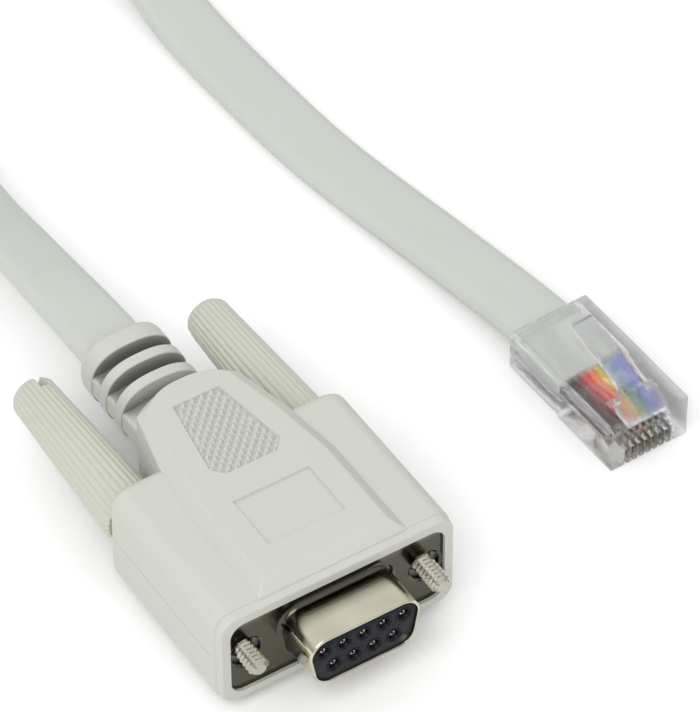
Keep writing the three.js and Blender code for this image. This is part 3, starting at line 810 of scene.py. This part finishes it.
threadGroup, knobGroup = threadTree(), knobTree()
for name, side in (("left", -1), ("right", 1)):
    x = side * screwSize["x"]
    tip = screwSize["tips"][name]
    root, outer, run = screwSize["root"], screwSize["outer"], tip + screwSize["threadEnd"]
    shank = turned("shank", [(0.02, tip + 0.12), (0.55, tip + 0.02), (root - 0.28, tip), (root, tip + 0.3),
                             (root, run), (outer, run + 0.2), (outer, screwSize["end"]),
                             (0.02, screwSize["end"])], 40)
    thread = grown("thread", threadGroup, {"Turns": screwSize["turns"], "Pitch": screwSize["pitch"],
                                           "Radius": root, "Ridge": outer - root})
    thread.data.transform(Matrix.Translation((0, tip + screwSize["runIn"], 0)))
    screw = shaded(joined(f"jackscrew_{name}", [shank, thread]), 40)
    screw.data.transform(Matrix.Translation((x, 0, 0)))
    placed(screw, connectorPlace, screwSteel, f"thumbscrew_{name}", (f"jackscrew_{name}",))
    knob = grown("knob", knobGroup, {
        "Near": knobSize["near"], "Far": knobSize["far"], "Near Radius": knobSize["nearRadius"],
        "Far Radius": knobSize["farRadius"], "Ribs": float(knobSize["ribs"]), "Depth": knobSize["depth"],
        "Power": knobSize["power"], "Near Round": knobSize["nearRound"], "Far Round": knobSize["farRound"],
        "Around": knobSize["around"], "Along": knobSize["along"]})
    slot = block("slot", -9, 9, knobSize["far"] - knobSize["slotDepth"], knobSize["far"] + 1,
                 -knobSize["slot"] / 2, knobSize["slot"] / 2)
    slot.data.transform(Matrix.Rotation(knobSize["turn"][name], 4, "Y"))
    combine(knob, slot)
    combine(knob, turned("screwHole", [(screwSize["bore"], knobSize["near"] - 1),
                                       (screwSize["bore"], screwSize["end"] + 0.3)], 32))
    knob.name = knob.data.name = f"knob_{name}"
    knob.data.transform(Matrix.Translation((x, 0, 0)))
    placed(shaded(knob, 50), connectorPlace, knobPlastic, f"thumbscrew_{name}",
           (f"thumbscrew_knob_{name}",))
print("thumbscrews made")


# Clear plug

plugSize = {
    "half": 5.84, "length": 21.46, "height": 6.6, "step": 0.5, "stepAt": -10.4, "edge": 0.22,
    "roomHalf": 4.94, "roomFloor": 2.05, "roomHeight": 3.1, "roomDepth": 10.2,
    "wireHalf": 4.3, "wireFloor": 2.75, "wireHeight": 1.35, "noseWall": 2.4,
    "bladePitch": 1.02, "bladeSlot": 0.5, "bladeThick": 0.3, "slotLength": 4.6, "bladeHigh": 2.6,
    "latchHalf": 1.6, "shoulderHalf": 3.0, "bayHalf": 3.3, "bayDepth": 1.4, "bayLength": 4.9,
}


def rectRing(half, y, z0, z1):
    return [(-half, y, z0), (half, y, z0), (half, y, z1), (-half, y, z1)]


def plugHousing(s):
    w, h, nose = s["half"], s["height"], -s["length"]
    body = skin("plugBody", [rectRing(w, 0, s["step"], h), rectRing(w, s["stepAt"] + 0.5, s["step"], h),
                             rectRing(w, s["stepAt"], 0, h), rectRing(w, nose, 0, h)])
    combine(body, block("bay", -s["bayHalf"], s["bayHalf"], nose - 1, nose + s["bayLength"],
                        h - s["bayDepth"], h + 2))
    edged(body, s["edge"], 2)
    roomZ, wireZ = s["roomFloor"] + s["roomHeight"] / 2, s["wireFloor"] + s["wireHeight"] / 2
    rings = []
    for y, half, high, corner, z in ((1.0, s["roomHalf"] + 0.1, s["roomHeight"] + 0.2, 1.0, roomZ),
                                     (-0.6, s["roomHalf"], s["roomHeight"], 0.9, roomZ),
                                     (-s["roomDepth"], s["roomHalf"], s["roomHeight"], 0.9, roomZ),
                                     (-s["roomDepth"] - 0.9, s["wireHalf"], s["wireHeight"], 0.5, wireZ),
                                     (nose + s["noseWall"], s["wireHalf"], s["wireHeight"], 0.5, wireZ)):
        rings.append(roundedRing(y, half, high / 2, corner, 6, z=z))
    combine(body, skin("room", rings))
    slots = []
    for i in range(8):
        x = (i - 3.5) * s["bladePitch"]
        slots.append(block("bladeSlot", x - s["bladeSlot"] / 2, x + s["bladeSlot"] / 2, nose - 1,
                           nose + s["slotLength"], -1, s["bladeHigh"]))
    combine(body, joined("bladeSlots", slots))
    return shaded(body, 30)


def plugLatch(s):
    nose, h = -s["length"], s["height"]
    low, wide, slim = h - s["bayDepth"] + 0.3, s["shoulderHalf"], s["latchHalf"]
    rings = [  # half width, y, lower side, upper side
        (wide, nose + 0.5, low, h - 0.2), (wide, nose + 3.1, low + 0.6, h + 1.5),
        (wide - 0.1, nose + 3.7, low + 0.9, h + 1.7), (slim + 0.2, nose + 3.75, low + 0.9, h + 1.7),
        (slim, nose + 5.0, h + 1.3, h + 2.4), (slim, nose + 8.5, h + 2.5, h + 3.5),
        (slim - 0.1, nose + 14.5, h + 3.85, h + 4.8)]
    piece = skin("latchLever", [rectRing(half, y, z0, z1) for half, y, z0, z1 in rings])
    edged(piece, 0.14, 2)
    return shaded(piece, 30)


housing = plugHousing(plugSize)
placed(housing, plugPlace, clearBody, "cable", ("plug_housing",))
latch = plugLatch(plugSize)
placed(latch, plugPlace, clearBody, "latch", ("plug_latch",))


# One contact blade repeated across the nose.
def bladeTree():
    group, given = tree("plugBlades", [("Count", "Int"), ("Pitch", "Float")])
    gaps = math2(group, "SUBTRACT", given["Count"], 1.0)
    start = vector3(group, math2(group, "MULTIPLY", gaps, math2(group, "MULTIPLY", given["Pitch"], -0.5)))
    line = add(group, "GeometryNodeMeshLine", {"Count": given["Count"], "Start Location": start,
                                               "Offset": vector3(group, given["Pitch"])})
    repeated(group, line.outputs[0], given["Geometry"], goldFlash)
    return group


def bladeShape():
    nose = -plugSize["length"]
    outline = [(0.85, 0.35), (3.9, 0.35), (4.3, 0.7), (4.3, 2.35), (3.4, 2.35), (3.2, 3.0), (2.9, 2.35),
               (1.9, 2.35), (1.7, 3.0), (1.4, 2.35), (0.5, 2.35), (0.4, 2.2), (0.4, 0.8), (0.55, 0.45)]
    thick = plugSize["bladeThick"]
    return skin("blade", [[(x, nose + y, z) for y, z in outline] for x in (-thick / 2, thick / 2)])


blades = grown("plugBlades", bladeTree(), {"Count": 8, "Pitch": plugSize["bladePitch"]}, bladeShape())
placed(shaded(blades, 20), plugPlace, goldFlash, "cable",
       [f"plug_contact_{i}" for i in range(1, 9)])

wireColours = {
    "black": (0.03, 0.03, 0.033), "brown": (0.13, 0.06, 0.055), "red": (0.60, 0.06, 0.08),
    "orange": (0.90, 0.17, 0.09), "yellow": (0.85, 0.56, 0.07), "green": (0.03, 0.26, 0.14),
    "blue": (0.06, 0.14, 0.62), "violet": (0.22, 0.15, 0.52),
}
wireSize = {"radius": 0.46, "sides": 16, "start": -9.2, "end": 2.5, "height": 3.42}
ring = []
for k in range(wireSize["sides"]):
    a = 2 * math.pi * k / wireSize["sides"]
    ring.append((wireSize["radius"] * math.cos(a), wireSize["radius"] * math.sin(a)))
for i, (colour, shade) in enumerate(wireColours.items()):
    x = (i - 3.5) * plugSize["bladePitch"]
    h = wireSize["height"]
    path = [(x, wireSize["start"], 3.6), (x, wireSize["start"] - 1.2, 3.55), (x * 0.99, -12.4, h - 0.04),
            (x, -14.6, h), (x, -16.8, h), (x, wireSize["end"] - plugSize["length"], h)]
    wire = sweep(f"wire_{colour}", smoothRoute([(*p, 0) for p in path], 6), ring)[0]
    paint = plastic(f"wire_{colour}", shade, 0.3, cloud=0.08, grain=0.01)
    placed(shaded(wire, 50), plugPlace, paint, "cable", (f"conductor_{i + 1}",))
print("plug made")


# Tie round the coil

tieSize = {"width": 5.0, "thick": 0.6, "inner": (194.5, 215.7), "low": 0.72, "high": 10.2, "corner": 2.2}


def tieBand(s):
    y0, y1 = s["inner"]
    halfY, halfZ = (y1 - y0) / 2, (s["high"] - s["low"]) / 2
    cy, cz = (y0 + y1) / 2, (s["high"] + s["low"]) / 2
    t, h = s["thick"], s["width"] / 2
    inside = roundedRing(0, halfY, halfZ, s["corner"], 8)
    outside = roundedRing(0, halfY + t, halfZ + t, s["corner"] + t, 8)
    rings = [[(-h, cy + iy, cz + iz), (h, cy + iy, cz + iz), (h, cy + oy, cz + oz), (-h, cy + oy, cz + oz)]
             for (iy, _, iz), (oy, _, oz) in zip(inside, outside)]
    band = skin("coilTie", rings, closed=True)
    edged(band, 0.15, 2, 40)
    return shaded(band, 40)


tie = tieBand(tieSize)
placed(tie, metre, tiePlastic, "cable", ("coil_tie",))

# Floor and lights

lightSize = {"sky": 1.0, "horizon": 0.42, "dimBelow": 0.05, "fullAbove": 0.55, "key": 4.9}
floorSize = {"half": 3, "drop": 0.0002}
corners = [(x * floorSize["half"], y * floorSize["half"], -floorSize["drop"])
           for x, y in ((-1, -1), (1, -1), (1, 1), (-1, 1))]
floor = meshPiece("floor", corners, [(0, 1, 2, 3)])
floor.data.materials.append(plastic("paleFloor", (0.93, 0.93, 0.93), 0.9, specular=0.1, fleck=0.0, cloud=0.0,
                                    grain=0.0))

world = bpy.data.worlds.new("studio")
world.use_nodes = True
sky = world.node_tree
upward = parted(sky, add(sky, "ShaderNodeTexCoord").outputs["Generated"])["Z"]
glow = ranged(sky, upward, lightSize["dimBelow"], lightSize["fullAbove"],
              lightSize["horizon"] * lightSize["sky"], lightSize["sky"])  # dimmer near the horizon
sky.links.new(glow, sky.nodes["Background"].inputs["Strength"])
sky.nodes["Background"].inputs["Color"].default_value = (1, 1, 1, 1)
bpy.context.scene.world = world


def softBox(name, place, aim, size, power):
    lamp = bpy.data.lights.new(name, "AREA")
    lamp.shape = "RECTANGLE"
    lamp.size, lamp.size_y = size
    lamp.energy = power
    item = bpy.data.objects.new(name, lamp)
    item.location = place
    item.rotation_euler = (Vector(aim) - Vector(place)).to_track_quat("-Z", "Y").to_euler()
    bpy.context.collection.objects.link(item)


softBox("keyLight", (-0.52, -0.38, 0.77), (0.02, 0.05, 0), (0.7, 0.7), lightSize["key"])
bpy.context.scene.view_settings.view_transform = "Standard"
print("floor and lights set")
